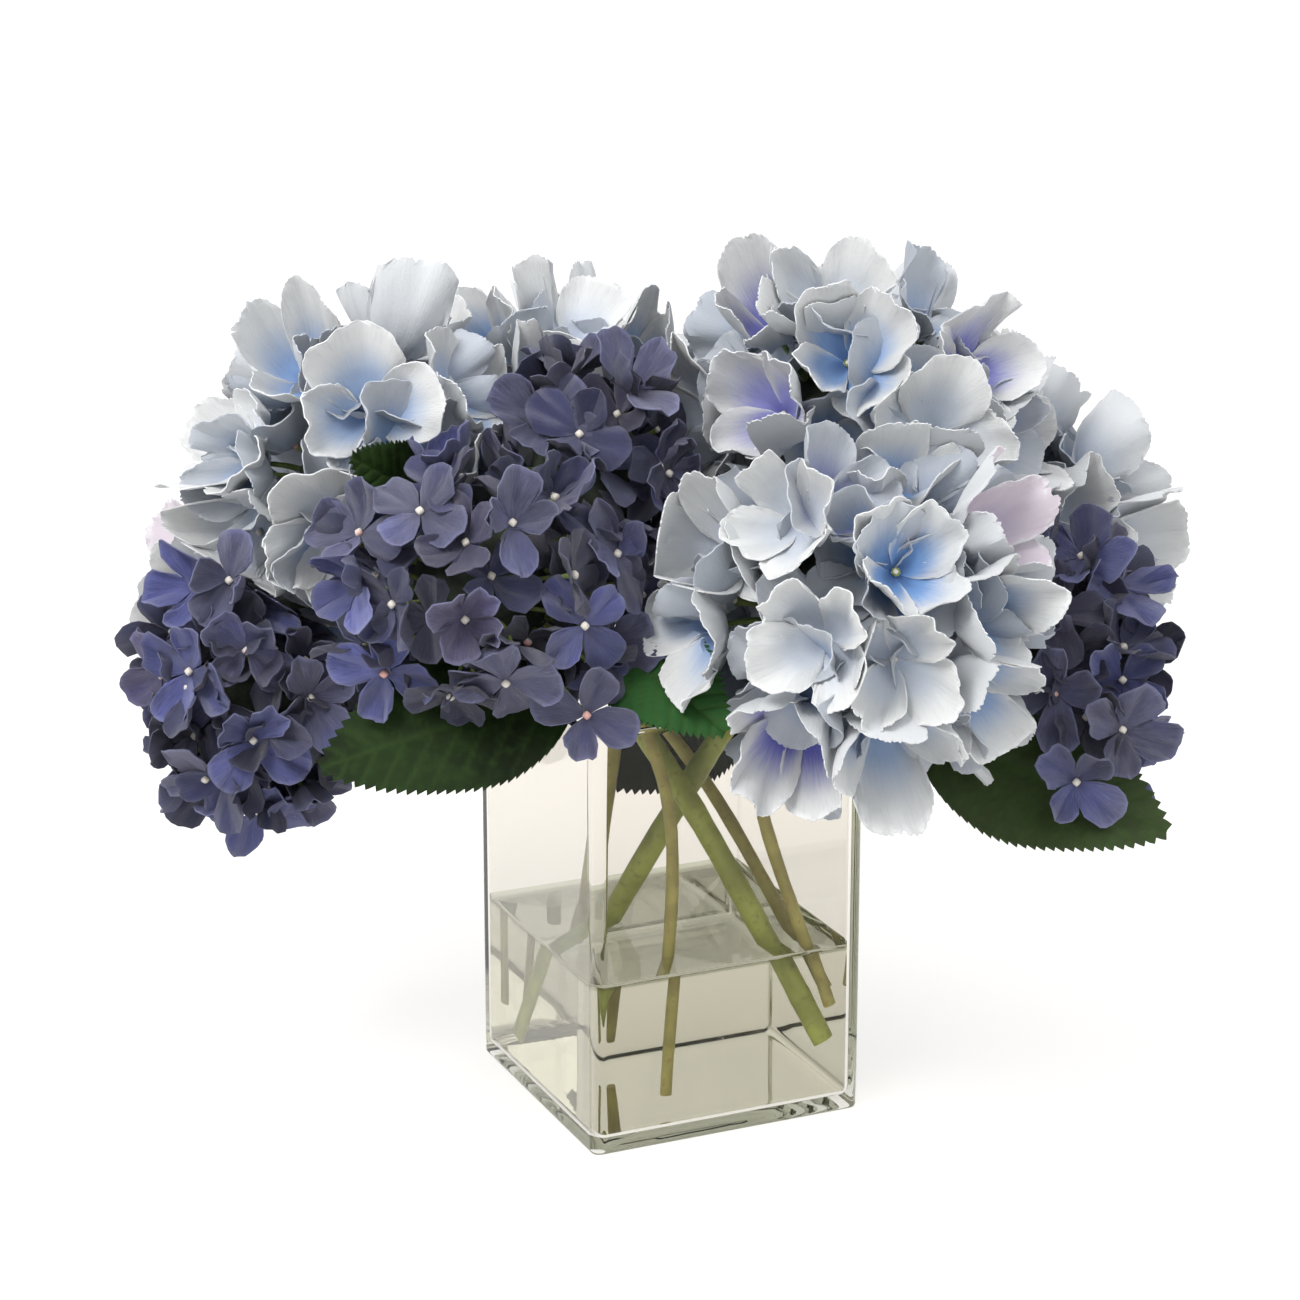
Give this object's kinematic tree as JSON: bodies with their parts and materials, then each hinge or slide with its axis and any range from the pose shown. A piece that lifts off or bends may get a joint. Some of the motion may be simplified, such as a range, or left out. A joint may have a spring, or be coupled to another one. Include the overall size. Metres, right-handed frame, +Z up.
{
  "type": "hydrangeas in a vase",
  "caption": "Full bunch of pale blue and dark violet hydrangea heads with serrated leaves, standing on crossed stems in a square clear glass vase.",
  "frame": {"origin": "centre of the vase's flat underside, on the surface that it stands on", "axes": "+Z up; X and Y square to the vase's faces, with -Y the wide face on the viewer's right"},
  "size_m": [0.3814, 0.3028, 0.3044],
  "materials": {
    "glass": "clear polished glass",
    "water": "clear filling that stands for water, level top",
    "stem": "olive green, satin",
    "leaf": "dark green, veined, matt",
    "pale_petal": "white-grey with sky blue and violet throats, matt, toothed edges",
    "dark_petal": "slate violet with paler edges, matt, finely creased"
  },
  "bodies": {
    "root": {"vase": "glass", "water": "water", "stem_front": "stem", "stem_top": "stem", "stem_left": "stem", "stem_mid": "stem", "stem_dark_front": "stem", "stem_dark_left": "stem", "leaf_front_left": "leaf", "leaf_front_mid": "leaf", "leaf_in_mouth": "leaf", "leaf_front_right": "leaf", "leaf_left_high": "leaf", "leaf_rear_left": "leaf", "leaf_rear_mid": "leaf", "leaf_rear_right": "leaf", "pale_front": "pale_petal", "pale_top": "pale_petal", "pale_left": "pale_petal", "pale_mid": "pale_petal", "pale_rear_left": "pale_petal", "pale_rear_right": "pale_petal", "pale_rear": "pale_petal", "dark_mid": "dark_petal", "dark_front": "dark_petal", "dark_left": "dark_petal", "dark_right": "dark_petal", "dark_rear_left": "dark_petal", "dark_rear_right": "dark_petal"}
  },
  "joints": []
}
